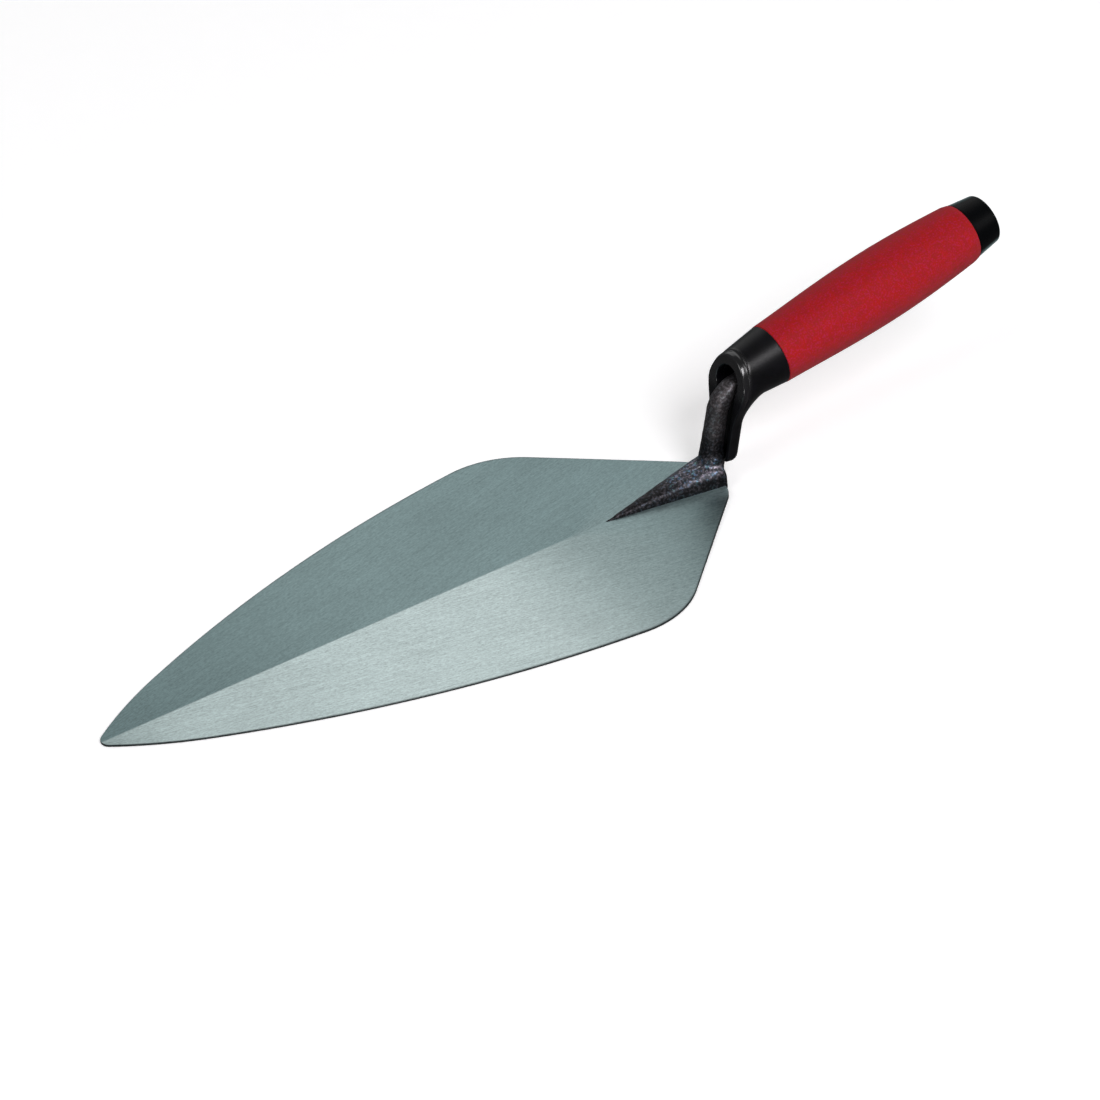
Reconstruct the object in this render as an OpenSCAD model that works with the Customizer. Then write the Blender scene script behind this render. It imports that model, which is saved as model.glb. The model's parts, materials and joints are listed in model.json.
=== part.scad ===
// Brick trowel, London pattern: a one-piece forged blade, boss, shank and tang,
// with a two-material handle that has a finger guard behind the shank.
// Origin: where the shank's centre line meets the blade's underside.
// +X runs to the butt of the handle, the tip points to -X, +Z is up.

/* [Blade] */
// Length of the blade, from its heel end to its tip
blade_len = 253.1; // [235:0.1:275]
// Width of the blade where it is widest
blade_w = 120.65; // [118:0.05:126]
// Distance from the heel end to the widest place
widest_at = 69.1; // [66:0.1:72]
// Distance that the heel end lies behind the foot of the shank
heel_out = 2.8; // [2.4:0.1:3.2]
// Angle between the straight heel edges and the centre line, in degrees
heel_angle = 41.7; // [40:0.1:42.6]
// Radius that joins the heel end to the straight heel edges
heel_r = 10; // [6:0.5:14]
// Radius of the rounded heel corners
corner_r = 35.7; // [32:0.1:38]
// Direction of the edge where the corner meets the side arc, in degrees
side_start = 6.5; // [4:0.1:9]
// Direction of the edge where the side arc meets the nose arc, in degrees
nose_start = 23.8; // [22:0.1:25.5]
// Direction of the edge where the nose arc meets the tip, in degrees
tip_start = 35.7; // [34:0.1:38]
// Radius of the tip
tip_r = 3.6; // [2.5:0.1:5]
// Thickness of the blade at its widest place, on the edge
edge_t = 0.8; // [0.6:0.1:1]
// Thickness on the centre line at the tip
ridge_tip_t = 0.9; // [0.8:0.1:1.1]
// Thickness on the centre line at the heel
ridge_heel_t = 1.6; // [1.4:0.1:2]

/* [Boss, shank and tang] */
// Length of the conical boss that runs out on to the blade
boss_len = 56; // [54:0.5:60]
// Distance that the boss's rear face lies behind the foot of the shank
boss_out = 3.6; // [3.4:0.1:3.8]
// Radius of the boss at its rear face
boss_r = 9.7; // [9.2:0.1:10]
// Height of the boss's axis above the underside
boss_axis_h = 0.2; // [0.1:0.1:0.5]
// Half the width between the boss's flat flanks at its rear face
boss_half_w = 8.4; // [8:0.1:8.8]
// Distance from the boss's rear face to the place where the flat flanks meet
boss_flank_len = 49.6; // [48:0.1:50.5]
// Radius that rounds the boss's rear rim
boss_round = 0.6; // [0.4:0.1:1.5]
// Diameter of the shank at its root
shank_d = 8.2; // [7.6:0.1:8.6]
// Diameter of the shank at its bend, and of the tang behind it
neck_d = 7.2; // [6.4:0.1:7.6]
// Backward lean of the shank from the vertical, in degrees
shank_lean = 10.3; // [8:0.1:13]
// Height at which the shank's and the handle's centre lines cross
elbow_h = 38.2; // [37:0.1:42]
// Radius of the shank's bend, on its centre line
bend_r = 10; // [8:0.5:12]
// Distance that the tang's centre line lies below the handle's
tang_drop = 3.2; // [1:0.1:3.5]
// Diameter of the root that joins the shank to the boss
root_d = 9.6; // [9.2:0.1:9.6]
// Distance that the root's centre line lies behind the shank's
root_back = 0.9; // [0.6:0.1:0.9]
// Height of the root above the boss's top
root_rise = 1.2; // [0.6:0.1:3]
// Height over which the root narrows into the shank
root_flare = 4; // [3:0.5:8]
// Diameter of the tang at its end inside the handle
tang_end_d = 5.4; // [4:0.1:6]
// Distance from the crossing of the centre lines to the end of the tang
tang_len = 84; // [60:1:95]

/* [Handle] */
// Upward tilt of the handle, in degrees
handle_tilt = 11.5; // [9:0.1:14]
// Distance from the crossing of the centre lines to the front of the soft grip
grip_start = 22.5; // [21:0.1:25]
// Length of the soft grip
grip_len = 89.2; // [85:0.1:100]
// Radius of the soft grip at both ends
grip_end_r = 11.5; // [11.4:0.1:12]
// Radius of the soft grip at its fullest place
grip_mid_r = 13.5; // [12.5:0.1:14.5]
// Exponent that moves the fullest place towards the butt
grip_skew = 1.15; // [1:0.01:1.4]
// Length of the bevel at the rear of the soft grip
grip_bevel = 2.4; // [2:0.1:6]
// Radius of the soft grip at the rear of the bevel
grip_back_r = 11.2; // [11.1:0.1:11.4]
// Radius that rounds the soft grip's rear rim
grip_round = 0.5; // [0.3:0.1:0.8]
// Length of the butt cap that shows behind the soft grip
cap_len = 11.5; // [10:0.1:14]
// Radius of the butt cap where it leaves the soft grip
cap_front_r = 11; // [10:0.1:11]
// Radius of the butt cap at its end
cap_end_r = 9.4; // [9:0.1:10]
// Radius that rounds the butt cap's rim
cap_round = 1.4; // [1:0.1:3]

/* [Hard core] */
// Radius of the core under the soft grip
core_r = 8.6; // [7.5:0.1:9]
// Radius of the spigot that carries the butt cap
spigot_r = 6.2; // [5:0.1:7]
// Length of the spigot
spigot_len = 8; // [6:0.5:9]
// Number of ribs that key the soft grip to the core
key_count = 4; // [2:1:8]
// Height of those ribs
key_h = 1; // [0.6:0.1:1.4]
// Width of those ribs
key_w = 2.4; // [1.6:0.1:3]
// Radius of the bolster at the elbow
elbow_r = 8.9; // [8.7:0.1:9.6]
// Radius of the bolster at the soft grip
bolster_r = 11.4; // [11:0.1:11.6]
// Distance from the shank's centre line back to the bolster's front face
front_face = 2.4; // [1.4:0.1:2.8]
// Radius of the bolster's mouth
mouth_r = 6; // [5.6:0.1:6.5]
// Distance from the crossing of the centre lines to the bottom of the mouth
mouth_depth = 12; // [8:0.5:16]
// Half the width of the finger guard
guard_half_w = 7.2; // [6.8:0.1:7.6]
// Distance from the shank's centre line to the back of the guard
guard_back = 8.2; // [7.8:0.1:9]
// Radius of the guard's rear corners
guard_round = 4; // [3:0.1:5]
// Height of the guard's lower end above the underside
guard_bottom = 9.6; // [9.5:0.1:14]
// Radius of the finger rest between the guard and the handle
rest_r = 11.5; // [9:0.5:13]
// Radius of the groove that the shank stands in
groove_r = 5.8; // [5.8:0.1:6]

/* [Hidden] */
$fn = 72;
steel = [0.66, 0.69, 0.68];
black_oxide = [0.10, 0.10, 0.12];
hard_black = [0.06, 0.06, 0.07];
soft_red = [0.68, 0.10, 0.12];
// Overshoot that lets a cutting solid pass through what it cuts
over = 1;
// Room round the tang in its socket
socket_gap = 0.1;
// How far an outline's arc may lie outside its chords
arc_sag = 0.012;
// Step in size that keeps two joined sections from sharing a surface
step_in = 0.1;
// How much thicker the bend is than the neck
bend_swell = 0.15;

shank_r = shank_d / 2;
neck_r = neck_d / 2;
heel_x = heel_out;
corner_c = [heel_x - widest_at, blade_w / 2 - corner_r];
// The side and nose arcs have to cover this length and this drop between them
run_x = blade_len - widest_at - corner_r * sin(side_start) - tip_r * (1 - sin(tip_start));
run_y = blade_w / 2 - corner_r * (1 - cos(side_start)) - tip_r * cos(tip_start);
side_dx = sin(nose_start) - sin(side_start);
side_dy = cos(side_start) - cos(nose_start);
nose_dx = sin(tip_start) - sin(nose_start);
nose_dy = cos(nose_start) - cos(tip_start);
run_det = side_dx * nose_dy - nose_dx * side_dy;
side_r = (run_x * nose_dy - nose_dx * run_y) / run_det;
nose_r = (side_dx * run_y - side_dy * run_x) / run_det;
// Each arc's centre lies on the normal that it shares with the arc before it
side_c = corner_c + (corner_r - side_r) * normal_at(side_start);
nose_c = side_c + (side_r - nose_r) * normal_at(nose_start);
tip_c = nose_c + (nose_r - tip_r) * normal_at(tip_start);
widest_ridge_t = ridge_heel_t - (ridge_heel_t - ridge_tip_t) * widest_at / blade_len;
side_fall = atan((widest_ridge_t - edge_t) / (blade_w / 2));
ridge_rise = atan((ridge_heel_t - ridge_tip_t) / blade_len);

elbow = [elbow_h * tan(shank_lean), 0, elbow_h];
shank_len = elbow_h / cos(shank_lean);
// Where the root starts, inside the boss
shank_foot = boss_axis_h + over;
// Angle that the bend turns through, between the shank and the handle
bend_turn = 90 - shank_lean - handle_tilt;
bend_reach = bend_r * tan(bend_turn / 2);
// Where the tang's centre line crosses the shank's, measured up the shank
tang_cross = shank_len - tang_drop / sin(bend_turn);
cap_start = grip_start + grip_len;
// The finger rest's axis lies this far from the elbow, measured along each line
rest_along_handle = (guard_back + rest_r) / sin(bend_turn);
rest_along_shank = (elbow_r + rest_r) / sin(bend_turn);
taper_angle = atan((bolster_r - elbow_r) / grip_start);

// Outward normal of an edge that falls away from the centre line at this angle
function normal_at(fall) = [-sin(fall), cos(fall)];

// Points of an arc about c, from angle a0 to angle a1
function arc(c, r, a0, a1) =
    let (steps = ceil(abs(a1 - a0) / (2 * acos(1 - arc_sag / r))))
    [for (i = [0:steps]) let (a = a0 + (a1 - a0) * i / steps) c + r * [cos(a), sin(a)]];

// One half of the blade's outline, from the heel end to the tip
function half_outline() =
    let (
        fillet = arc(corner_c, corner_r, 90 - heel_angle, 90 + side_start),
        heel_half = fillet[0][1] - (heel_x - fillet[0][0]) * tan(heel_angle),
        heel_c = [heel_x - heel_r, heel_half - heel_r * tan(45 - heel_angle / 2)]
    )
    concat(
        arc(heel_c, heel_r, 0, 90 - heel_angle),
        fillet,
        arc(side_c, side_r, 90 + side_start, 90 + nose_start),
        arc(nose_c, nose_r, 90 + nose_start, 90 + tip_start),
        arc(tip_c, tip_r, 90 + tip_start, 180)
    );

// Radius of the soft grip at t, which runs from 0 at its front to 1 at its rear
function grip_r(t) = grip_end_r + (grip_mid_r - grip_end_r) * sin(180 * pow(t, grip_skew));

// Puts children at a place on the shank, with Z up the shank and X behind it
module on_shank(along = 0) {
    rotate([0, shank_lean, 0]) translate([0, 0, along]) children();
}

// Puts children at a place on the handle, with Z towards the butt and X down
module on_handle(along = 0) {
    translate(elbow) rotate([0, 90 - handle_tilt, 0]) translate([0, 0, along]) children();
}

// Sweeps a profile round the bend: its Y axis is the bend's width, its X axis
// is the distance from an axis that lies behind and below the elbow
module round_bend(axis_along_shank, axis_along_handle) {
    start = [
        -axis_along_shank * sin(shank_lean) + axis_along_handle * cos(handle_tilt),
        0,
        -axis_along_shank * cos(shank_lean) + axis_along_handle * sin(handle_tilt)
    ];
    translate(elbow + start)
        rotate([0, shank_lean, 0])
            rotate([90, 0, 0])
                rotate([0, 0, 180 - bend_turn])
                    rotate_extrude(angle = bend_turn) children();
}

// The blade's plan, filled
module blade_plan() {
    half = half_outline();
    mirrored = [for (i = [len(half) - 1:-1:0]) [half[i][0], -half[i][1]]];
    polygon(concat(half, mirrored));
}

// What is ground away above one half of the blade
module grinding(side) {
    translate([heel_x, 0, ridge_heel_t])
        rotate([-side * side_fall, -ridge_rise, 0])
            translate([-blade_len - 10 * over, -blade_w, 0])
                cube([blade_len + 20 * over, 2 * blade_w, 4 * ridge_heel_t]);
}

module blade_plate() {
    difference() {
        linear_extrude(height = ridge_heel_t + over) blade_plan();
        grinding(1);
        grinding(-1);
    }
}

// The cone that stiffens the blade's heel, flat underneath and on both flanks
module boss() {
    rim = arc([boss_r - boss_round, boss_round], boss_round, -90, 0);
    back = boss_out + over;
    back_half = boss_half_w * (1 + over / boss_flank_len);
    intersection() {
        translate([boss_out, 0, boss_axis_h])
            rotate([0, -90, 0])
                rotate_extrude() polygon(concat([[0, 0]], rim, [[0, boss_len]]));
        linear_extrude(height = 2 * boss_r)
            polygon([[boss_out - boss_flank_len, 0], [back, -back_half], [back, back_half]]);
    }
}

// The bent part between the shank and the tang, grown by gap for its socket
module bend(gap = 0) {
    reach = bend_r / sin(bend_turn);
    round_bend(reach + shank_len - tang_cross, reach)
        translate([bend_r, 0]) circle(r = neck_r + bend_swell + gap);
}

// The part of the forging that the handle hides, grown by gap for its socket
module tang(gap = 0) {
    start = bend_reach - tang_drop / tan(bend_turn) - over;
    on_handle(start)
        translate([tang_drop, 0, 0])
            cylinder(h = tang_len - start + gap, r1 = neck_r + gap, r2 = tang_end_d / 2 + gap);
}

// The stub that joins the shank to the boss, a little behind the shank's centre
module root() {
    flare = boss_axis_h + boss_r + root_rise;
    on_shank()
        translate([root_back, 0, 0])
            rotate_extrude()
                polygon([
                    [0, shank_foot],
                    [root_d / 2, shank_foot],
                    [root_d / 2, flare],
                    [neck_r - root_back, flare + root_flare],
                    [0, flare + root_flare]
                ]);
}

module shank() {
    top = tang_cross - bend_reach + over;
    low = shank_foot + over;
    on_shank(low) cylinder(h = top - low, r1 = shank_r, r2 = neck_r);
    bend();
}

module forged_blade() {
    color(steel) blade_plate();
    color(black_oxide) {
        boss();
        root();
        shank();
        tang();
    }
}

// Side view of the guard: a strip with its lower rear corner rounded off
module guard_side() {
    low = guard_bottom / cos(shank_lean);
    high = shank_len - guard_half_w / 2;
    corner = [guard_back - guard_round, low + guard_round];
    polygon(concat(
        [[front_face, high], [front_face, low]],
        arc(corner, guard_round, -90, 0),
        [[guard_back, high]]
    ));
}

// Plan of the guard, with its rear corners rounded
module guard_plan() {
    corner = [guard_back - guard_round, guard_half_w - guard_round];
    far = arc(corner, guard_round, 0, 90);
    near = arc([corner[0], -corner[1]], guard_round, -90, 0);
    front = front_face - over;
    polygon(concat(near, far, [[front, guard_half_w], [front, -guard_half_w]]));
}

// The straight strip behind the shank
module guard_strip() {
    intersection() {
        on_shank()
            rotate([90, 0, 0])
                linear_extrude(height = 2 * guard_half_w, center = true) guard_side();
        on_shank() linear_extrude(height = 2 * elbow_h) guard_plan();
    }
}

// The finger rest: the guard's section carried round into the bolster
module finger_rest() {
    depth = guard_back - front_face;
    half_w = guard_half_w - step_in;
    corner = [rest_r + step_in + guard_round, half_w - guard_round];
    far = arc(corner, guard_round, 90, 180);
    near = arc([corner[0], -corner[1]], guard_round, 180, 270);
    front = rest_r + depth - step_in;
    round_bend(rest_along_shank, rest_along_handle)
        polygon(concat(far, near, [[front, -half_w], [front, half_w]]));
}

// The bolster: a cone about the handle's axis, cut off parallel to the shank
module bolster() {
    front = -elbow_r;
    front_r = elbow_r + front * tan(taper_angle);
    block = 4 * elbow_r;
    difference() {
        on_handle(front)
            cylinder(h = grip_start - front, r1 = front_r, r2 = bolster_r);
        on_shank()
            translate([front_face - block, -block / 2, 0])
                cube([block, block, 3 * elbow_h]);
    }
}

// The hollow in front of and round the shank and its bend
module hollow() {
    on_shank(-over) cylinder(h = shank_len + over, r = groove_r);
    on_handle(-3 * elbow_r) cylinder(h = 3 * elbow_r + mouth_depth, r = mouth_r);
}

// Ribs along the core that stop the soft grip from turning, widened by gap
module keys() {
    margin = grip_len / 10;
    for (i = [0:key_count - 1])
        on_handle(grip_start + margin)
            rotate([0, 0, (i + 0.5) * 360 / key_count])
                translate([core_r - over, -key_w / 2, 0])
                    cube([key_h + over, key_w, grip_len - 2 * margin]);
}

module handle_core() {
    color(hard_black)
        difference() {
            union() {
                bolster();
                finger_rest();
                guard_strip();
                on_handle(grip_start - over) cylinder(h = grip_len + over, r = core_r);
                on_handle(cap_start - over) cylinder(h = spigot_len + over, r = spigot_r);
                keys();
            }
            hollow();
            bend(socket_gap);
            tang(socket_gap);
        }
}

module soft_grip() {
    steps = 40;
    side = [for (i = [0:steps - 1]) [grip_r(i / steps), grip_len * i / steps]];
    body = [for (p = side) if (p[1] < grip_len - grip_bevel) p];
    color(soft_red)
        difference() {
            on_handle(grip_start)
                rotate_extrude()
                    polygon(concat(
                        [[core_r, 0]],
                        body,
                        arc([grip_back_r - grip_round, grip_len - grip_round], grip_round, 0, 90),
                        [[core_r, grip_len]]
                    ));
            keys();
        }
}

module butt_cap() {
    rim = arc([cap_end_r - cap_round, cap_len - cap_round], cap_round, 0, 90);
    color(hard_black)
        on_handle(cap_start)
            rotate_extrude()
                polygon(concat(
                    [[spigot_r, 0], [cap_front_r, 0]],
                    rim,
                    [[0, cap_len], [0, spigot_len], [spigot_r, spigot_len]]
                ));
}

forged_blade();
handle_core();
soft_grip();
butt_cap();
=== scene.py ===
import json
import math

import bpy
import numpy as np
from mathutils import Matrix, Vector

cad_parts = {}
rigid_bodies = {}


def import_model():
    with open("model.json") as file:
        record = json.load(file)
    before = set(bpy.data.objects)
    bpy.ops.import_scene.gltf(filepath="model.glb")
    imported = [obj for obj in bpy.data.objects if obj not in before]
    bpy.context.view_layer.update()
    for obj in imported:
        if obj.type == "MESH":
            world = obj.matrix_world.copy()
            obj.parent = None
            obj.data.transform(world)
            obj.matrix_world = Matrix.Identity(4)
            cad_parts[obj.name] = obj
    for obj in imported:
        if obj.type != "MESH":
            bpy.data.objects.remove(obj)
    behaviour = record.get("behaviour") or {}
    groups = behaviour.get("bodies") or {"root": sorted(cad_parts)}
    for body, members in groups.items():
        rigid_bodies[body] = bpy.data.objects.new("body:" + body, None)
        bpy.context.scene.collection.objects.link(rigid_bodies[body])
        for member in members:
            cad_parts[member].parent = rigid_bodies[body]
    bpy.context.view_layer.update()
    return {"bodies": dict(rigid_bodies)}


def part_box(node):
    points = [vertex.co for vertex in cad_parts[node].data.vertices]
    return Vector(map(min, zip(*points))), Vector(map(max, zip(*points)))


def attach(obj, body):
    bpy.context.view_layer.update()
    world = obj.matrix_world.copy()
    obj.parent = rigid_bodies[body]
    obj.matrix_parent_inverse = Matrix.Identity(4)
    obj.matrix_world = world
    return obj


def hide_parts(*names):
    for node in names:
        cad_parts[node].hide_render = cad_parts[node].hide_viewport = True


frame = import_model()

# Lengths below are in millimetres, in the part's frame, unless a name ends in _m
MM = 0.001

# Nothing on a trowel moves, so the frame has one body
BODY, = frame["bodies"]

# ---------------------------------------------------------------- dimensions

blade_box = [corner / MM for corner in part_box("forged_blade")]

# The blade's plan: a straight heel edge, a corner, a side arc, a nose arc and a tip
TIP_X = blade_box[0].x
HALF_W = blade_box[1].y
HEEL_X = 2.8
WIDEST_AT = 69.1
HEEL_ANGLE = 41.7
HEEL_R = 10.0
CORNER_R = 35.7
SIDE_START = 6.5
NOSE_START = 23.8
TIP_START = 35.7
TIP_R = 3.6
# Both ends of the outline stop this many degrees short of the centre line
OUTLINE_STOP = 2
# Points on each of the outline's three long arcs
ARC_POINTS = 34

# The blade's section
RIDGE_HEEL_T = 1.6
RIDGE_TIP_T = 0.9
EDGE_T = 0.8
EDGE_ROUND = 0.16
# Half the number of faces across the blade
BLADE_FACES = 18

# The ridge is sharp as far as the first place, and has faded out at the second one
RIDGE_SHARP_X = -62.0
RIDGE_GONE_X = -34.0
# Half the width over which the ridge is rounded where it is sharp, and what fading adds to it
RIDGE_SHARP_W = 0.25
RIDGE_FADE_W = 14.0

# The boss
BOSS_X = 3.6
BOSS_LEN = 56.0
BOSS_R = 9.5
BOSS_AXIS_H = 0.2
BOSS_HALF_W = 8.4
BOSS_FLANK_LEN = 49.6
BOSS_ROUND = 0.6
BOSS_SQUARENESS = 3
# The crease along the boss's crest: its turn from the top, its size, where it starts, and
# the lengths over which it fades in from there and out towards the shank
CREASE_TURN = math.radians(8)
CREASE_DEPTH = 0.38
CREASE_W = 0.5
CREASE_START_X = -17.0
CREASE_FADE_IN = 8.0
CREASE_FADE_OUT = 4.0

# Root, shank and tang. The forging stops a little above the blade's underside
FORGING_BOTTOM = 0.3
ROOT_R = 4.8
ROOT_BACK = 0.9
ROOT_TOP = 11.3
ROOT_FLARE = 4.0
ROOT_BLEND = 0.8
FLARE_BLEND = 0.4
SHANK_LEAN = math.radians(10.3)
ELBOW_H = 38.2
SHANK_START = 2.0
SHANK_R = 4.15
NECK_R = 3.65
SHANK_SQUARENESS = 2.35
BEND_R = 10.0
TANG_DROP = 3.2
# Length of tang drawn behind the bend. Its end is buried in the bolster
TANG_DRAWN = 12.0

# Handle
HANDLE_TILT = math.radians(11.5)
ELBOW_R = 8.9
BOLSTER_R = 11.4
GRIP_START = 22.5
GRIP_LEN = 89.2
GRIP_END_R = 11.5
GRIP_MID_R = 13.5
GRIP_SKEW = 1.15
GRIP_BEVEL = 2.4
GRIP_BEVEL_DROP = 0.38
GRIP_EDGE_R = 0.35
CORE_R = 8.7
CAP_LEN = 11.5
CAP_FRONT_R = 11.0
CAP_END_R = 9.4
CAP_ROUND = 1.4
CAP_EDGE_R = 0.25
CAP_DOME = 0.5
# Faces round the grip and the cap
TURNED_FACES = 128

# Bolster and finger guard
FRONT_FACE = 2.4
MOUTH_R = 6.0
MOUTH_DEPTH = 12.0
GROOVE_R = 5.8
GUARD_HALF_W = 7.2
GUARD_BACK = 8.3
GUARD_ROUND = 3.6
GUARD_BOTTOM = 9.6
GUARD_LOW_ROUND = 3.4
REST_BLEND = 7.6
FRONT_ROUND = 0.6
REAR_ROUND = 0.25
MOUTH_ROUND = 0.55
MOUTH_BLEND = 0.5
# The groove in the bolster that sets off the mouth's rim
RIM_W = 2.3
RIM_GROOVE_DEPTH = 0.32
RIM_GROOVE_W = 0.5

# Size of the faces on the pieces drawn from distance formulas
FORGING_STEP = 0.42
BOLSTER_STEP = 0.36

ELBOW = np.array([ELBOW_H * math.tan(SHANK_LEAN), 0.0, ELBOW_H])
SHANK_UP = np.array([math.sin(SHANK_LEAN), 0.0, math.cos(SHANK_LEAN)])
SHANK_BACK = np.array([math.cos(SHANK_LEAN), 0.0, -math.sin(SHANK_LEAN)])
HANDLE_OUT = np.array([math.cos(HANDLE_TILT), 0.0, math.sin(HANDLE_TILT)])
HANDLE_DOWN = np.array([math.sin(HANDLE_TILT), 0.0, -math.cos(HANDLE_TILT)])


# ---------------------------------------------------------------- mesh making

def new_piece(name, points, faces, material, replaced=None, normals=None):
    """A smooth-shaded mesh from points in millimetres, which may stand for a replaced CAD node."""
    mesh = bpy.data.meshes.new(name)
    mesh.from_pydata((np.asarray(points) * MM).tolist(), [], faces)
    mesh.validate()
    mesh.polygons.foreach_set("use_smooth", [True] * len(mesh.polygons))
    mesh.update()
    if normals is not None:
        mesh.normals_split_custom_set_from_vertices(normals.tolist())
    mesh.materials.append(material)
    piece = bpy.data.objects.new(name, mesh)
    bpy.context.scene.collection.objects.link(piece)
    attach(piece, BODY)
    if replaced:
        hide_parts(replaced)
    return piece


def bridge(rings, count):
    """Quads between rings of count points each, open at both ends."""
    faces = []
    for ring in range(rings - 1):
        for i in range(count):
            j = (i + 1) % count
            a, b = ring * count, (ring + 1) * count
            faces.append((a + i, a + j, b + j, b + i))
    return faces


def arc(centre, radius, start, end, count):
    """Points of an arc from one angle in degrees to another."""
    angles = np.radians(np.linspace(start, end, count))
    return [(centre[0] + radius * math.cos(a), centre[1] + radius * math.sin(a)) for a in angles]


def lathe(profile, origin):
    """Turns a closed profile of (distance along, radius) points about the handle's axis."""
    side = np.cross(HANDLE_OUT, HANDLE_DOWN)
    points = []
    for turn in np.linspace(0, 2 * math.pi, TURNED_FACES, endpoint=False):
        outward = math.cos(turn) * HANDLE_DOWN + math.sin(turn) * side
        points += [origin + s * HANDLE_OUT + r * outward for s, r in profile]
    count = len(profile)
    faces = []
    for seg in range(TURNED_FACES):
        a, b = seg * count, (seg + 1) % TURNED_FACES * count
        for i in range(count):
            j = (i + 1) % count
            faces.append((a + i, b + i, b + j, a + j))
    return points, faces


def surface_net(field, low, high, step):
    """Points, quads and normals of the surface where field is zero, inside a box."""
    low = np.array(low, float)
    counts = np.ceil((np.array(high) - low) / step).astype(int) + 1
    axes = [low[i] + step * np.arange(counts[i]) for i in range(3)]
    value = field(*np.meshgrid(*axes, indexing="ij"))
    inside = value < 0

    # One vertex in each grid cell that the surface passes through
    cells = counts - 1
    corners_inside = np.zeros(cells, int)
    for dx, dy, dz in np.ndindex(2, 2, 2):
        corners_inside += inside[dx:dx + cells[0], dy:dy + cells[1], dz:dz + cells[2]]
    where = np.argwhere((corners_inside > 0) & (corners_inside < 8))
    number = np.full(cells, -1)
    number[tuple(where.T)] = np.arange(len(where))

    points = low + step * mean_crossing(value, where)
    points = draw_on_to(field, points, step)
    slope = gradient(field, points, step / 6)
    normals = slope / np.linalg.norm(slope, axis=1)[:, None]
    return points, net_quads(inside, cells, number).tolist(), normals


def mean_crossing(value, where):
    """Middle of the places where the surface cuts each cell's edges, in grid steps."""
    total = np.zeros((len(where), 3))
    hits = np.zeros(len(where))
    for corner in np.ndindex(2, 2, 2):
        for axis in range(3):
            if corner[axis]:
                continue
            start = where + np.array(corner)
            end = start.copy()
            end[:, axis] += 1
            a, b = value[tuple(start.T)], value[tuple(end.T)]
            crossed = (a < 0) != (b < 0)
            spot = start.astype(float)
            spot[crossed, axis] += (a / np.where(crossed, a - b, 1))[crossed]
            total[crossed] += spot[crossed]
            hits += crossed
    return total / hits[:, None]


def net_quads(inside, cells, number):
    """One outward-facing quad round each grid edge that the surface crosses."""
    faces = []
    for axis in range(3):
        u, v = (axis + 1) % 3, (axis + 2) % 3
        ahead = np.roll(inside, -1, axis)
        edges = np.argwhere(inside != ahead)
        keep = (edges[:, axis] < cells[axis]) & (edges[:, u] > 0) & (edges[:, v] > 0)
        keep &= (edges[:, u] < cells[u]) & (edges[:, v] < cells[v])
        edges = edges[keep]
        ring = []
        for du, dv in ((0, 0), (1, 0), (1, 1), (0, 1)):
            cell = edges.copy()
            cell[:, u] -= du
            cell[:, v] -= dv
            ring.append(number[tuple(cell.T)])
        ring = np.stack(ring, 1)
        outward = inside[tuple(edges.T)]
        ring[~outward] = ring[~outward][:, ::-1]
        faces.append(ring)
    return np.concatenate(faces)


def draw_on_to(field, points, step):
    """Moves points along the field's slope until they lie on its surface."""
    for _ in range(4):
        slope = gradient(field, points, step / 20)
        steepness = np.maximum((slope ** 2).sum(1), 0.2)
        move = np.clip(-field(*points.T) / steepness, -step / 3, step / 3)
        points = points + move[:, None] * slope
    return points


def gradient(field, points, reach):
    """Slope of field at each point, by central differences."""
    slope = np.empty_like(points)
    for axis in range(3):
        shift = np.zeros(3)
        shift[axis] = reach
        slope[:, axis] = (field(*(points + shift).T) - field(*(points - shift).T)) / (2 * reach)
    return slope


def round_max(a, b, radius):
    """Intersection of two solids, with the edge between them rounded."""
    over = np.hypot(np.maximum(a + radius, 0), np.maximum(b + radius, 0))
    return np.minimum(np.maximum(a, b), -radius) + over


def round_min(a, b, radius):
    """Union of two solids, with a fillet between them."""
    return -round_max(-a, -b, radius)


def local(x, y, z, origin, *directions):
    """Distances of each point from origin along the directions."""
    offset = (x - origin[0], y - origin[1], z - origin[2])
    return [sum(d * o for d, o in zip(way, offset)) for way in directions]


def bell(value, width):
    """1 where value is zero, falling to nothing a few widths away."""
    return np.exp(-(value / width) ** 2)


# ---------------------------------------------------------------- the blade

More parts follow.
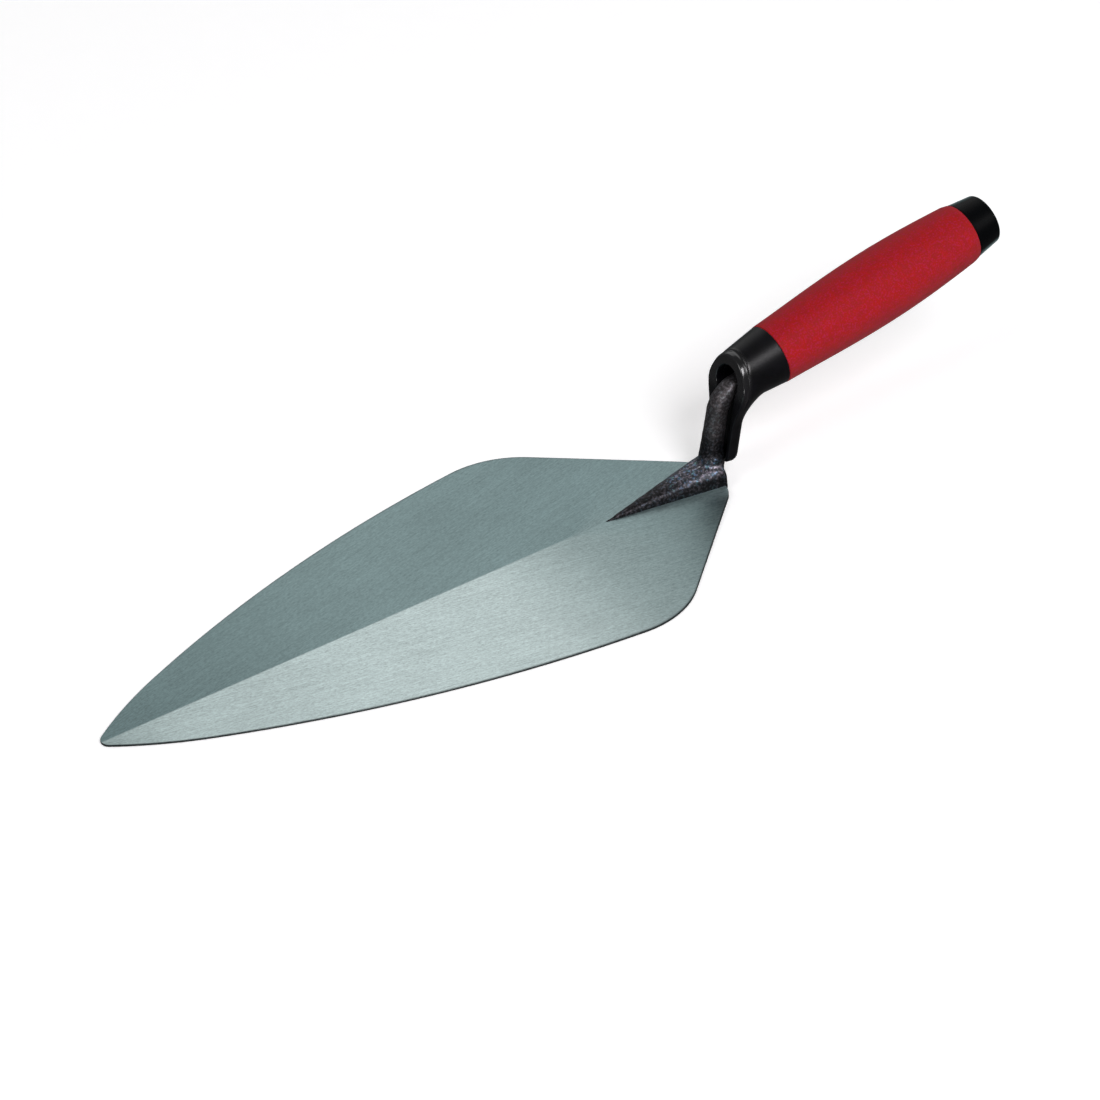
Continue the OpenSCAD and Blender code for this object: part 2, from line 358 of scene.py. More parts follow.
def blade_outline():
    """(x, half width) from the heel end to the tip, along the blade's plan."""
    def normal(fall):
        turn = math.radians(fall)
        return np.array([-math.sin(turn), math.cos(turn)])

    corner = np.array([HEEL_X - WIDEST_AT, HALF_W - CORNER_R])
    # The side and nose radii are those with which the two arcs just reach the tip
    n1, n2, n3 = normal(SIDE_START), normal(NOSE_START), normal(TIP_START)
    tip = np.array([TIP_X + TIP_R, 0.0])
    gap = tip + TIP_R * n3 - corner - CORNER_R * n1
    side_r, nose_r = np.linalg.solve(np.stack([n2 - n1, n3 - n2], 1), gap)
    side = corner + (CORNER_R - side_r) * n1
    nose = side + (side_r - nose_r) * n2

    rounded = arc(corner, CORNER_R, 90 - HEEL_ANGLE, 90 + SIDE_START, ARC_POINTS)
    start_x, start_w = rounded[0]
    heel_w = start_w - (HEEL_X - start_x) * math.tan(math.radians(HEEL_ANGLE))
    heel_cut = HEEL_R * math.tan(math.radians(45 - HEEL_ANGLE / 2))
    heel_centre = (HEEL_X - HEEL_R, heel_w - heel_cut)
    heel = arc(heel_centre, HEEL_R, OUTLINE_STOP, 90 - HEEL_ANGLE, 14)
    end_x, end_w = heel[-1]
    straight = [
        (end_x + t * (start_x - end_x), end_w + t * (start_w - end_w))
        for t in np.linspace(0, 1, 30, endpoint=False)
    ]
    return (
        heel[:-1]
        + straight
        + rounded
        + arc(side, side_r, 90 + SIDE_START, 90 + NOSE_START, ARC_POINTS)[1:]
        + arc(nose, nose_r, 90 + NOSE_START, 90 + TIP_START, ARC_POINTS)[1:]
        + arc(tip, TIP_R, 90 + TIP_START, 180 - OUTLINE_STOP, 16)[1:]
    )


def ridge_thickness(behind_heel):
    """Thickness on the centre line, at a distance from the heel towards the tip."""
    return RIDGE_HEEL_T + (RIDGE_TIP_T - RIDGE_HEEL_T) * behind_heel / (HEEL_X - TIP_X)


def blade_top(x, y):
    """Height of the ground top face: two falls that meet in a ridge."""
    fall = (ridge_thickness(WIDEST_AT) - EDGE_T) / HALF_W
    fade = min(max((x - RIDGE_SHARP_X) / (RIDGE_GONE_X - RIDGE_SHARP_X), 0), 1)
    soft = RIDGE_SHARP_W + RIDGE_FADE_W * fade
    return ridge_thickness(HEEL_X - x) - fall * (math.hypot(y, soft) - soft)


def blade_section(x, half, shares):
    """Top row, right rim, bottom row and left rim of the section at x, as (y, z) points."""
    round_r = min(EDGE_ROUND, half / 3)
    inner = half - round_r
    edge = blade_top(x, half)
    turns = [math.radians(a) for a in (67.5, 45, 22.5)]
    top = [(share * inner, blade_top(x, share * inner)) for share in shares]
    right = [(inner + round_r * math.cos(a), edge - round_r + round_r * math.sin(a)) for a in turns]
    right += [(half, edge - round_r), (half, round_r)]
    turns.reverse()
    right += [(inner + round_r * math.cos(a), round_r - round_r * math.sin(a)) for a in turns]
    under = [(share * inner, 0.0) for share in reversed(shares)]
    left = [(-y, z) for y, z in reversed(right)]
    return top, right, under, left


def ground_blade(material):
    """The bright blade, as sections across its outline with closed ends."""
    shares = [math.sin(math.pi / 2 * t) for t in np.linspace(-1, 1, 2 * BLADE_FACES + 1)]
    outline = blade_outline()
    points, rim = [], []
    for x, half in outline:
        top, right, under, left = blade_section(x, half, shares)
        points += [(x, y, z) for y, z in top + right + under + left]
        # How close each point of a row or rim lies to the blade's edge, where the steel's material
        # paints a dark shade line
        row = [1.0, 0.4] + [0.0] * (len(top) - 4) + [0.4, 1.0]
        rim += row + [1.0] * len(right) + row + [1.0] * len(left)
    loop = len(points) // len(outline)
    faces = bridge(len(outline), loop)
    faces += end_faces(0, len(top), len(right))
    tip_faces = end_faces(len(points) - loop, len(top), len(right))
    faces += [tuple(reversed(face)) for face in tip_faces]
    piece = new_piece("ground_blade", points, faces, material, "forged_blade")
    attribute = piece.data.attributes.new("rim", "FLOAT", "POINT")
    attribute.data.foreach_set("value", np.array(rim, np.float32))
    mark_sharp(piece.data, 30)


def end_faces(base, row, rim):
    """Strips from the top row to the bottom row that close the section starting at point base."""
    upper = list(range(base, base + row))
    right = list(range(base + row, base + row + rim))
    lower = list(range(base + 2 * row + rim - 1, base + row + rim - 1, -1))
    left = list(range(base + 2 * row + rim, base + 2 * row + 2 * rim))
    strips = [(upper[i], upper[i + 1], lower[i + 1], lower[i]) for i in range(row - 1)]
    return strips + [(upper[-1], *right, lower[-1]), (lower[0], *left, upper[0])]


def mark_sharp(mesh, degrees):
    """Edges that turn more than this stay crisp under smooth shading."""
    mesh.set_sharp_from_angle(angle=math.radians(degrees))


# ---------------------------------------------------------------- boss and shank

def forging_unevenness(x, y, z):
    """The slight waviness of a hammered surface, in millimetres."""
    broad = np.sin(0.9 * x + 0.6 * z) * np.sin(1.3 * y + 0.5 * z)
    return 0.05 * broad + 0.03 * np.sin(1.7 * z - 1.1 * y)


def shank_field(x, y, z):
    """Shank, bend and tang: a tapering bar swept along line, arc and line."""
    turn = math.pi / 2 - SHANK_LEAN - HANDLE_TILT
    reach = BEND_R * math.tan(turn / 2)
    cross = ELBOW_H / math.cos(SHANK_LEAN) - TANG_DROP / math.sin(turn)
    corner = cross * SHANK_UP
    centre = corner - reach * SHANK_UP + BEND_R * SHANK_BACK
    up, back = local(x, y, z, (0, 0, 0), SHANK_UP, SHANK_BACK)
    length = cross - reach
    bar_up = np.clip(up, SHANK_START, length)
    bar_r = SHANK_R + (NECK_R - SHANK_R) * bar_up / length
    shank = squared(np.hypot(back, up - bar_up), y) - bar_r
    out, down = local(x, y, z, corner, HANDLE_OUT, HANDLE_DOWN)
    bar_out = np.clip(out, reach, reach + TANG_DRAWN)
    tang = squared(np.hypot(down, out - bar_out), y) - NECK_R
    above, front = local(x, y, z, centre, SHANK_UP, -SHANK_BACK)
    angle = np.clip(np.arctan2(above, front), 0, turn)
    ring = np.hypot(above - BEND_R * np.sin(angle), front - BEND_R * np.cos(angle))
    bend = squared(ring, y) - NECK_R
    return np.minimum(np.minimum(shank, tang), bend)


def squared(a, b):
    """Radius of a slightly squared round bar."""
    return superellipse(a, b, SHANK_SQUARENESS)


def superellipse(a, b, power):
    """Radius of a point on a circle that is squared more as power grows."""
    return (np.abs(a) ** power + np.abs(b) ** power + 1e-9) ** (1 / power)


def boss_field(x, y, z):
    """The squared cone on the heel, with a flat rear and a crease along its crest."""
    radius = BOSS_R * np.maximum(1 + (x - BOSS_X) / BOSS_LEN, 0.02)
    half = BOSS_HALF_W * np.maximum(1 + (x - BOSS_X) / BOSS_FLANK_LEN, 0.02)
    lift = z - BOSS_AXIS_H
    cone = (superellipse(y / half, lift / radius, BOSS_SQUARENESS) - 1) * half
    swing = np.arctan2(y, np.maximum(lift, 1e-6))
    aside = (swing + CREASE_TURN) * np.maximum(radius, 0.5)
    fade_in = np.clip((x - CREASE_START_X) / CREASE_FADE_IN, 0, 1)
    shown = fade_in * np.clip(-x / CREASE_FADE_OUT, 0, 1)
    cone = cone + CREASE_DEPTH * bell(aside, CREASE_W) * shown
    solid = round_max(cone, x - BOSS_X, BOSS_ROUND)
    return round_max(solid, FORGING_BOTTOM - z, 0.05)


def root_field(x, y, z):
    """The stub between boss and shank, a little behind the shank's centre."""
    up, back = local(x, y, z, (0, 0, 0), SHANK_UP, SHANK_BACK)
    fall = (ROOT_R - NECK_R + ROOT_BACK) / ROOT_FLARE
    radius = ROOT_R - fall * np.clip(up - ROOT_TOP, 0, ROOT_FLARE)
    stub = (np.hypot(back - ROOT_BACK, y) - radius) / math.hypot(1, fall)
    return np.maximum(stub, up - ROOT_TOP - ROOT_FLARE)


def forging_field(x, y, z):
    """Boss, root, shank and tang, joined with small fillets."""
    upright = round_min(root_field(x, y, z), shank_field(x, y, z), FLARE_BLEND)
    body = round_min(boss_field(x, y, z), upright, ROOT_BLEND)
    return np.maximum(body, FORGING_BOTTOM - z) + forging_unevenness(x, y, z)


def boss_and_shank(material):
    # A box with a little room round the forging
    low = (BOSS_X - BOSS_LEN - 1, -BOSS_R - 1.2, -0.5)
    high = (ELBOW[0] + 22, BOSS_R + 1.2, ELBOW_H + 6)
    points, faces, normals = surface_net(forging_field, low, high, FORGING_STEP)
    new_piece("boss_and_shank", points, faces, material, normals=normals)


# ---------------------------------------------------------------- handle

def bolster_field(x, y, z):
    """Bolster, finger guard and finger rest, hollowed round the shank."""
    out, down = local(x, y, z, ELBOW, HANDLE_OUT, HANDLE_DOWN)
    up, back = local(x, y, z, (0, 0, 0), SHANK_UP, SHANK_BACK)
    taper = (BOLSTER_R - ELBOW_R) / GRIP_START
    cone = (np.hypot(down, y) - ELBOW_R - taper * out) / math.hypot(1, taper)
    # The groove fades out where the bolster passes into the guard
    shown = np.clip((up - ELBOW_H + 6) / 4, 0, 1)
    cone = cone + RIM_GROOVE_DEPTH * bell(back - FRONT_FACE - RIM_W, RIM_GROOVE_W) * shown
    low = GUARD_BOTTOM / math.cos(SHANK_LEAN)
    guard = round_max(back - GUARD_BACK, np.abs(y) - GUARD_HALF_W, GUARD_ROUND)
    guard = round_max(guard, low - up, GUARD_LOW_ROUND)
    guard = round_max(guard, up - ELBOW_H, 1)
    body = round_min(cone, guard, REST_BLEND)
    body = round_max(body, FRONT_FACE - back, FRONT_ROUND)
    body = round_max(body, out - GRIP_START, REAR_ROUND)
    groove = round_max(np.hypot(back, y) - GROOVE_R, up - ELBOW_H, MOUTH_BLEND)
    mouth = round_max(np.hypot(down, y) - MOUTH_R, out - MOUTH_DEPTH, 1)
    return round_max(body, -round_min(groove, mouth, MOUTH_BLEND), MOUTH_ROUND)


def bolster_and_guard(material):
    # A box with a little room round the bolster and the guard
    low = (0, -BOLSTER_R - 1, GUARD_BOTTOM - 2)
    high = (ELBOW[0] + GRIP_START + 5, BOLSTER_R + 1, ELBOW_H + BOLSTER_R + 7)
    points, faces, normals = surface_net(bolster_field, low, high, BOLSTER_STEP)
    new_piece("bolster_and_guard", points, faces, material, "handle_core", normals)


def grip_radius(s):
    """Radius of the soft grip's barrel, at s behind its front end."""
    swell = math.sin(math.pi * (s / GRIP_LEN) ** GRIP_SKEW)
    bevel = max(0.0, s - (GRIP_LEN - GRIP_BEVEL)) / GRIP_BEVEL
    return GRIP_END_R + (GRIP_MID_R - GRIP_END_R) * swell - GRIP_BEVEL_DROP * bevel ** 1.3


def soft_grip_sleeve(material):
    """The red barrel, hollow round the core."""
    edge = GRIP_EDGE_R
    last = GRIP_LEN - edge
    bevel_start = last - GRIP_BEVEL
    outer = [(s, grip_radius(s)) for s in np.linspace(edge, bevel_start, 64)]
    outer += [(s, grip_radius(s)) for s in np.linspace(bevel_start, last, 10)[1:]]
    front = arc((edge, outer[0][1] - edge), edge, 180, 90, 5)[:-1]
    rear = arc((last, outer[-1][1] - edge), edge, 90, 0, 5)[1:]
    bore = [(s, CORE_R) for s in np.linspace(GRIP_LEN, 0, 24)]
    origin = ELBOW + GRIP_START * HANDLE_OUT
    points, faces = lathe(front + outer + rear + bore, origin)
    piece = new_piece("soft_grip_sleeve", points, faces, material, "soft_grip")
    mark_sharp(piece.data, 40)


def end_cap(material):
    """The black cap, tapering to a slightly domed end."""
    # The profile stops just short of the axis, so that its end faces stay quads
    axis_r = 0.02
    edge = CAP_EDGE_R
    last = CAP_LEN - CAP_DOME
    taper = (CAP_END_R - CAP_FRONT_R) / CAP_LEN
    flank = [(s, CAP_FRONT_R + taper * s) for s in np.linspace(edge, last - CAP_ROUND, 14)]
    rim = arc((last - CAP_ROUND, flank[-1][1] - CAP_ROUND), CAP_ROUND, 90, 8, 12)[1:]
    rim_s, rim_r = rim[-1]
    crown = [
        (rim_s + (CAP_LEN - rim_s) * (1 - t * t), rim_r * t + axis_r * (1 - t))
        for t in np.linspace(1, 0, 12)[1:]
    ]
    face = [(0, axis_r)] + [(0, r) for r in np.linspace(2, 9, 4)]
    front = arc((edge, flank[0][1] - edge), edge, 180, 90, 4)[:-1]
    origin = ELBOW + (GRIP_START + GRIP_LEN) * HANDLE_OUT
    points, faces = lathe(face + front + flank + rim + crown, origin)
    piece = new_piece("end_cap", points, faces, material, "butt_cap")
    mark_sharp(piece.data, 40)


# ---------------------------------------------------------------- materials

class Look:
    """Short calls that build one material's node tree."""

    def __init__(self, name):
        self.material = bpy.data.materials.new(name)
        self.material.use_nodes = True
        self.tree = self.material.node_tree
        self.tree.nodes.clear()
        output = self.add("ShaderNodeOutputMaterial")
        self.shader = self.add("ShaderNodeBsdfPrincipled")
        self.feed(output.inputs["Surface"], self.shader.outputs[0])
        self.place = self.add("ShaderNodeTexCoord").outputs["Object"]
        self.x, self.y, self.z = self.split(self.place)

    def add(self, kind, **settings):
        node = self.tree.nodes.new(kind)
        for key, value in settings.items():
            setattr(node, key, value)
        return node

    def feed(self, socket, value):
        """Links an output to a socket, or sets the socket's own value."""
        if isinstance(value, bpy.types.NodeSocket):
            self.tree.links.new(value, socket)
        else:
            socket.default_value = value

    def set(self, **values):
        """Feeds the shader's inputs, named with _ for each space."""
        for key, value in values.items():
            self.feed(self.shader.inputs[key.replace("_", " ")], value)

    def math(self, operation, a, b=0.0, clamp=False):
        node = self.add("ShaderNodeMath", operation=operation, use_clamp=clamp)
        self.feed(node.inputs[0], a)
        self.feed(node.inputs[1], b)
        return node.outputs[0]

    def times(self, a, b):
        return self.math("MULTIPLY", a, b)

    def plus(self, a, b):
        return self.math("ADD", a, b)

    def minus(self, a, b):
        return self.math("SUBTRACT", a, b)

    def spread(self, value, low, high, to_low, to_high, smooth=False):
        """Maps a range of value on to another range, and holds the ends."""
        kind = "SMOOTHSTEP" if smooth else "LINEAR"
        node = self.add("ShaderNodeMapRange", interpolation_type=kind)
        for socket, number in zip(node.inputs, (value, low, high, to_low, to_high)):
            self.feed(socket, number)
        return node.outputs[0]

    def mix(self, share, a, b, blend="MIX"):
        node = self.add("ShaderNodeMix", data_type="RGBA", blend_type=blend)
        self.feed(node.inputs[0], share)
        self.feed(node.inputs[6], a)
        self.feed(node.inputs[7], b)
        return node.outputs[2]

    def shaded(self, colour, shade):
        """The colour, multiplied by a grey of that level."""
        return self.mix(1.0, colour, self.vector(shade, shade, shade), "MULTIPLY")

    def split(self, vector):
        node = self.add("ShaderNodeSeparateXYZ")
        self.feed(node.inputs[0], vector)
        return node.outputs

    def vector(self, x, y, z):
        node = self.add("ShaderNodeCombineXYZ")
        for socket, value in zip(node.inputs, (x, y, z)):
            self.feed(socket, value)
        return node.outputs[0]

    def noise(self, place, scale, detail=2.0, roughness=0.5):
        node = self.add("ShaderNodeTexNoise")
        self.feed(node.inputs["Vector"], place)
        self.feed(node.inputs["Scale"], scale)
        self.feed(node.inputs["Detail"], detail)
        self.feed(node.inputs["Roughness"], roughness)
        return node.outputs[0]

    def ramp(self, value, *stops):
        """Colour of value between (position, colour) stops."""
        node = self.add("ShaderNodeValToRGB")
        elements = node.color_ramp.elements
        for element, (position, colour) in zip(elements, (stops[0], stops[-1])):
            element.position, element.color = position, colour
        for position, colour in stops[1:-1]:
            elements.new(position).color = colour
        self.feed(node.inputs[0], value)
        return node.outputs[0]

    def bump(self, height, strength, depth_m):
        node = self.add("ShaderNodeBump")
        self.feed(node.inputs["Strength"], strength)
        self.feed(node.inputs["Distance"], depth_m)
        self.feed(node.inputs["Height"], height)
        self.set(Normal=node.outputs[0])


def grey(level, green=1.0, blue=1.0):
    """A grey whose green and blue may differ a little from its red."""
    return (level, level * green, level * blue, 1)


# Light that the floor gives off by itself
FLOOR_GLOW = 0.36

# Brightness of the ground steel
STEEL_LEVEL = 1.3

# Tones of the blade's two halves, from the tip to the heel: partly the steel's own grey and partly
# painted light, with the far half painted darker than the near half and the levels along the blade
# painted to follow the light and reflections that fall on it
NEAR_TONES_AND_LIGHT = (
    (0.00, grey(0.28, 1.24, 1.23)),
    (0.10, grey(0.41, 1.20, 1.19)),
    (0.40, grey(0.48, 1.18, 1.17)),
    (0.60, grey(0.47, 1.18, 1.17)),
    (0.75, grey(0.275, 1.26, 1.26)),
    (0.85, grey(0.22, 1.32, 1.33)),
    (0.93, grey(0.165, 1.36, 1.38)),
    (0.985, grey(0.19, 1.30, 1.34)),
)
FAR_TONES_AND_LIGHT = (
    (0.00, grey(0.135, 1.45, 1.48)),
    (0.45, grey(0.205, 1.39, 1.41)),
    (0.97, grey(0.19, 1.40, 1.43)),
)

# Direction of the grinding marks, away from the centre line towards the heel
GRIND_ANGLE = math.radians(12.6)
GRIND_COS = math.cos(GRIND_ANGLE)
GRIND_SIN = math.sin(GRIND_ANGLE)


def far_half(look):
    """1 on the far half and 0 on the near half. The border blurs where the ridge fades out."""
    border_m = look.spread(look.x, RIDGE_SHARP_X * MM, -0.030, 0.0003, 0.020, True)
    return look.math("ADD", look.times(look.math("DIVIDE", look.y, border_m), 0.5), 0.5, True)


def grinding_marks(look, aside):
    """Fine and long streaks that spread from the centre line towards the heel, and dots."""
    along = look.plus(look.times(look.x, GRIND_COS), look.times(aside, GRIND_SIN))
    across = look.minus(look.times(aside, GRIND_COS), look.times(look.x, GRIND_SIN))
    # The third coordinate differs between the halves, so they aren't mirror images
    half = look.times(look.math("SIGN", look.y), 3.7)

    def streaks(length_m, breadth_m):
        place = look.vector(look.times(along, 1 / length_m), look.times(across, 1 / breadth_m), half)
        return look.noise(place, 1.0, 2, 0.6)

    fine = look.times(streaks(0.0015, 0.00045), 0.5)
    long = look.times(streaks(0.018, 0.0006), 0.25)
    dots = look.times(look.noise(look.place, 1500, 2), 0.25)
    return look.plus(look.plus(fine, long), dots)


def dull_by_boss(look, aside, far):
    """1 along the boss on the near half, and 0 from 9 mm beside it."""
    inset = look.times(look.x, BOSS_HALF_W / BOSS_FLANK_LEN)
    beside = look.minus(look.minus(aside, inset), BOSS_HALF_W * MM)
    dull = look.times(look.spread(beside, 0.0, 0.009, 1, 0, True), look.minus(1, far))
    return look.times(dull, look.spread(look.x, -0.046, -0.025, 0, 1, True))


def ground_steel():
    """Brushed steel: each half is ground its own way, and the halves' tones are partly painted
    light, with the far half painted darker.
    """
    look = Look("ground_steel")
    aside = look.math("ABSOLUTE", look.y)
    far = far_half(look)
    grain = grinding_marks(look, aside)
    cloud = look.noise(look.place, 28, 2)

    # Painted light: the tone changes along the blade and between the halves as the light and
    # reflections fall on the steel
    along = look.spread(look.x, TIP_X * MM, HEEL_X * MM, 0, 1)
    tone = look.mix(far, look.ramp(along, *NEAR_TONES_AND_LIGHT), look.ramp(along, *FAR_TONES_AND_LIGHT))
    shade = look.spread(grain, 0.32, 0.68, 0.64, 1.34)
    shade = look.times(shade, look.spread(cloud, 0.3, 0.7, 0.95, 1.05))
    colour = look.shaded(tone, look.times(shade, STEEL_LEVEL))
    # Painted shade: the blade's edges are painted nearly black, a dark line along the outline
    rim = look.add("ShaderNodeAttribute", attribute_name="rim").outputs["Fac"]
    colour = look.mix(look.times(rim, 0.85), colour, grey(0.05, 1.2, 1.25))

    # Close to the boss the finish is dull, so that the boss hardly mirrors in it
    dull = dull_by_boss(look, aside, far)
    outward = look.times(look.math("SIGN", look.y), GRIND_SIN)
    look.set(
        Base_Color=colour,
        Metallic=look.spread(dull, 0, 1, 1, 0.45),
        Roughness=look.spread(grain, 0.3, 0.7, 0.34, 0.46),
        Anisotropic=0.55,
        Tangent=look.vector(GRIND_COS, outward, 0.0),
    )
    look.bump(grain, 0.35, 0.00003)
    return look.material


def painted_crown_highlight(look):
    """1 on top of the boss, in front of the root, and 0 elsewhere on the forging: where a highlight
    is painted.
    """
    over_flanks = look.spread(look.z, 0.0045, 0.0075, 0, 1, True)
    under_shank = look.spread(look.z, 0.0105, 0.0125, 1, 0, True)
    behind_tip = look.spread(look.x, -0.024, -0.010, 0, 1, True)
    before_rear = look.spread(look.x, -0.001, 0.0035, 1, 0, True)
    height = look.times(over_flanks, under_shank)
    return look.times(height, look.times(behind_tip, before_rear))


def black_oxide():
    """Forged steel with a dark oxide that glints blue, green and violet, with a highlight painted on
    the boss's crown and light painted on the upper shank.
    """
    look = Look("black_oxide")
    grain = look.noise(look.place, 1100, 3, 0.6)
    pits = look.noise(look.place, 2600, 2, 0.6)
    hue = look.noise(look.place, 480, 3, 0.65)
    # A highlight is painted on the crown of the boss, with brighter glints there, and a weaker band
    # of light is painted on the upper shank
    crown = painted_crown_highlight(look)
    upper = look.spread(look.z, 0.016, 0.023, 0, 1, True)

    glint = look.ramp(
        hue,
        (0.36, (0.26, 0.58, 0.50, 1)),
        (0.43, (0.18, 0.32, 0.62, 1)),
        (0.50, (0.30, 0.28, 0.33, 1)),
        (0.68, (0.40, 0.32, 0.42, 1)),
    )
    # Painted light: the dull oxide is painted lighter on the upper shank
    dull = look.mix(upper, (0.055, 0.052, 0.056, 1), (0.18, 0.165, 0.17, 1))
    glint = look.mix(look.spread(crown, 0, 1, 0.10, 1), dull, glint)
    # Painted highlight: white glints scattered over the crown
    spark = look.times(look.spread(pits, 0.56, 0.70, 0, 0.8, True), crown)
    glint = look.mix(spark, glint, (0.75, 0.85, 0.80, 1))

    # Painted shade and light: the ground is painted darker low down and lighter on the upper shank
    ground = look.mix(upper, (0.013, 0.013, 0.014, 1), (0.062, 0.056, 0.058, 1))
    # Painted highlight: the crown's ground is painted lighter too
    ground = look.mix(look.times(crown, 0.7), ground, (0.07, 0.075, 0.085, 1))
    look.set(
        Base_Color=look.mix(look.spread(grain, 0.44, 0.66, 0.04, 0.85, True), ground, glint),
        Metallic=0.9,
        Roughness=look.spread(pits, 0.3, 0.7, 0.36, 0.56),
    )
    look.bump(look.plus(grain, look.times(pits, 0.5)), 0.45, 0.00010)
    return look.material


def mouth_rim(look):
    """1 on the rubbed rim round the top of the bolster's mouth, and 0 elsewhere."""
    back = look.minus(
        look.times(look.x, math.cos(SHANK_LEAN)),
        look.times(look.z, math.sin(SHANK_LEAN)),
    )
    near_face = look.spread(back, (FRONT_FACE + 2.2) * MM, (FRONT_FACE + 4) * MM, 1, 0, True)
    near_top = look.spread(look.z, (ELBOW_H - 5) * MM, (ELBOW_H - 1) * MM, 0, 1, True)
    return look.times(near_face, near_top)


def moulded_plastic(name, roughness, shine, tint, edge):
    """Hard black plastic with a fine grain. The share called edge paints it pale teal edge-on, a
    painted reflection.
    """
    look = Look(name)
    grain = look.noise(look.place, 3200, 2, 0.55)
    patch = look.noise(look.place, 160, 2)
    rim = mouth_rim(look)
    colour = look.mix(look.spread(patch, 0.35, 0.65, 0, 1), (0.001, 0.001, 0.0014, 1), tint)
    # Painted reflection: faces seen edge-on are painted pale teal
    facing = look.add("ShaderNodeLayerWeight").outputs["Facing"]
    painted_edge_sheen = look.spread(facing, 0.60, 0.94, 0, edge, True)
    matt = look.spread(grain, 0.3, 0.7, roughness - 0.05, roughness + 0.08)
    look.set(
        Base_Color=look.mix(painted_edge_sheen, colour, (0.16, 0.24, 0.24, 1)),
        Roughness=look.minus(matt, look.times(rim, 0.17)),
        Specular_IOR_Level=look.spread(rim, 0, 1, shine, 0.8),
        Sheen_Weight=0.012,
        Sheen_Roughness=0.3,
        Sheen_Tint=(0.55, 0.95, 0.9, 1),
    )
    look.bump(grain, 0.22, 0.00006)
    return look.material


def soft_touch_rubber():
    """Red soft-touch rubber: a dense speckle of crimson and magenta, and a dry sheen."""
    look = Look("soft_touch_rubber")
    speck = look.noise(look.place, 1500, 2, 0.7)
    blotch = look.noise(look.place, 420, 2, 0.5)
    patchy = look.spread(blotch, 0.38, 0.62, 0, 1)
    colour = look.mix(patchy, (0.372, 0.004, 0.003, 1), (0.322, 0.0045, 0.008, 1))
    colour = look.mix(look.spread(speck, 0.50, 0.66, 0, 1), colour, (0.37, 0.010, 0.045, 1))
    colour = look.mix(look.spread(speck, 0.46, 0.30, 0, 1), colour, (0.26, 0.010, 0.003, 1))
    # Painted shade: darker where it faces down
    normal = look.split(look.add("ShaderNodeNewGeometry").outputs["Normal"])
    look.set(
        Base_Color=look.shaded(colour, look.spread(normal[2], -0.6, 0.5, 0.66, 1, True)),
        Roughness=look.spread(speck, 0.3, 0.7, 0.58, 0.74),
        Specular_IOR_Level=0.16,
        Sheen_Weight=0.03,
        Sheen_Roughness=0.5,
        Sheen_Tint=(1.0, 0.7, 0.75, 1),
    )
    look.bump(speck, 0.35, 0.00010)
    return look.material


def floor_paper():
    """A pale lit table that shows only faintly in the object's reflections."""
    look = Look("floor_paper")
    fibre = look.noise(look.place, 90, 2)
    glossy = look.add("ShaderNodeLightPath").outputs["Is Glossy Ray"]
    paper = look.mix(fibre, grey(0.86), grey(0.89))
    look.set(
        Base_Color=look.mix(glossy, paper, grey(0.12)),
        Emission_Color=(1, 1, 1, 1),
        Emission_Strength=look.spread(glossy, 0, 1, FLOOR_GLOW, 0.02),
        Roughness=0.9,
        Specular_IOR_Level=0.1,
    )
    return look.material


# ---------------------------------------------------------------- studio

# The camera looks at this place from this direction: azimuth 0 looks along +Y
AIM_M = Vector((-0.0687, -0.0002, 0.0))
AZIMUTH = math.radians(-33.748)
ELEVATION = math.radians(35.363)
ROLL = math.radians(-2.363)
DISTANCE_M = 1.4654
LENS = 136.56
SENSOR = 36.0


def facing(azimuth, elevation):
    """Unit vector from the object towards a place in the studio."""
    return Vector((
        math.sin(azimuth) * math.cos(elevation),
        -math.cos(azimuth) * math.cos(elevation),
        math.sin(elevation),
    ))


def add_camera():
    """A long lens that looks down on the near side of the blade."""
    data = bpy.data.cameras.new("camera")
    data.lens = LENS
    data.sensor_width = SENSOR
    camera = bpy.data.objects.new("camera", data)
    bpy.context.scene.collection.objects.link(camera)
    back = facing(AZIMUTH, ELEVATION)
    right = Vector((math.cos(AZIMUTH), math.sin(AZIMUTH), 0))
    up = back.cross(right)
    turned = math.cos(ROLL) * right + math.sin(ROLL) * up
    columns = Matrix((turned, back.cross(turned), back)).transposed()
    camera.matrix_world = Matrix.Translation(AIM_M + DISTANCE_M * back) @ columns.to_4x4()
    bpy.context.scene.camera = camera


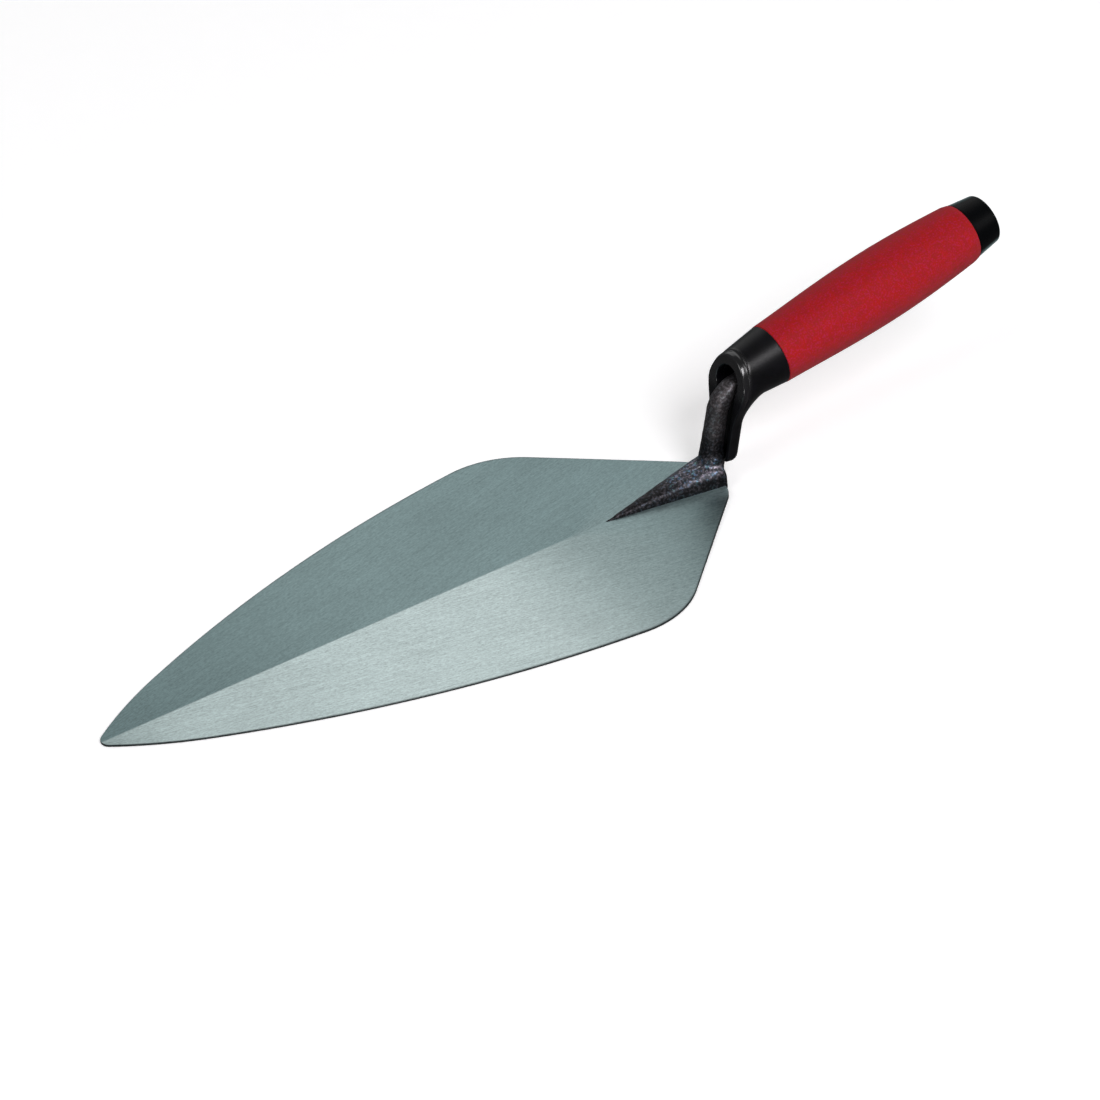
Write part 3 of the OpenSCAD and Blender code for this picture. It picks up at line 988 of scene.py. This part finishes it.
def add_softbox(name, azimuth, elevation, distance_m, size_m, watts, colour=(1, 1, 1)):
    """A rectangular lamp that faces the object, from a direction in degrees."""
    data = bpy.data.lights.new(name, "AREA")
    data.shape = "RECTANGLE"
    data.size, data.size_y = size_m
    data.energy = watts
    data.color = colour
    light = bpy.data.objects.new(name, data)
    bpy.context.scene.collection.objects.link(light)
    way = facing(math.radians(azimuth), math.radians(elevation))
    light.location = AIM_M + distance_m * way
    light.rotation_euler = way.to_track_quat("Z", "Y").to_euler()


def add_floor():
    """A plane just under the object, so that the two surfaces never coincide."""
    half = 6.0
    mesh = bpy.data.meshes.new("floor")
    corners = [(-half, -half, 0), (half, -half, 0), (half, half, 0), (-half, half, 0)]
    mesh.from_pydata(corners, [], [(0, 1, 2, 3)])
    mesh.materials.append(floor_paper())
    floor = bpy.data.objects.new("floor", mesh)
    floor.location.z = -0.0002
    bpy.context.scene.collection.objects.link(floor)


def add_world(level):
    """Even light from all round."""
    world = bpy.data.worlds.new("studio")
    world.use_nodes = True
    sky = world.node_tree.nodes["Background"]
    sky.inputs["Color"].default_value = (0.98, 0.99, 1.0, 1)
    sky.inputs["Strength"].default_value = level
    bpy.context.scene.world = world


# ---------------------------------------------------------------- build

bolster_black = moulded_plastic(
    "hard_black_plastic", roughness=0.34, shine=0.21, tint=(0.003, 0.0026, 0.0042, 1), edge=0.05
)
cap_black = moulded_plastic(
    "cap_plastic", roughness=0.30, shine=0.06, tint=(0.0012, 0.0015, 0.002, 1), edge=0.9
)
ground_blade(ground_steel())
boss_and_shank(black_oxide())
bolster_and_guard(bolster_black)
soft_grip_sleeve(soft_touch_rubber())
end_cap(cap_black)

add_floor()
add_world(0.20)
add_softbox("key", -6, 46, distance_m=2.2, size_m=(0.8, 0.9), watts=26, colour=(1.0, 0.98, 1.0))
add_softbox("wall", 146, 37, distance_m=2.8, size_m=(3.6, 2.2), watts=17.5)
add_softbox("right", 56, 28, distance_m=2.4, size_m=(1.2, 1.0), watts=7)
add_softbox("left", -80, 40, distance_m=2.6, size_m=(1.0, 1.0), watts=12)
add_softbox("low", -30, 4, distance_m=1.7, size_m=(0.3, 0.3), watts=3)
add_camera()
bpy.context.scene.view_settings.view_transform = "Standard"
